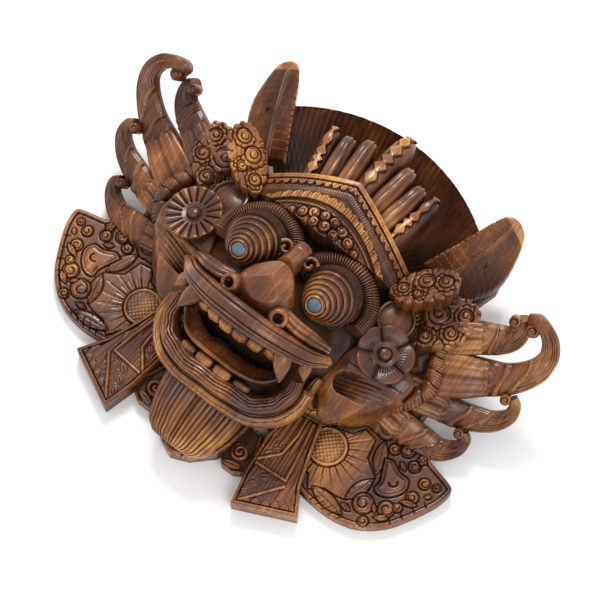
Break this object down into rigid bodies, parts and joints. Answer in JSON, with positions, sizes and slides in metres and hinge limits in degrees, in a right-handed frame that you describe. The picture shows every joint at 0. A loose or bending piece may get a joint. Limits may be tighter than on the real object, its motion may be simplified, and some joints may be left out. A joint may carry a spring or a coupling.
{
  "type": "carved wooden mask",
  "caption": "Carved wooden barong mask with bulging stepped eyes, toothed open mouth, gabled crown before a fluted dish, curling side plumes, ear flaps and a hollow back.",
  "frame": {"origin": "centre of the bounding box at its base, on the flat back the mask lies on", "axes": "+X to the viewer's right, +Y from chin to crown, +Z out of the face; left and right are the viewer's"},
  "size_m": [0.3914, 0.3012, 0.1369],
  "materials": {
    "carved_wood": "oiled warm brown hardwood, near-black stain in the recesses, golden where worn",
    "pupil_inlay": "polished blue-grey discs"
  },
  "bodies": {
    "root": {"carved_mask": "carved_wood", "pupil_left": "pupil_inlay", "pupil_right": "pupil_inlay"}
  },
  "joints": []
}
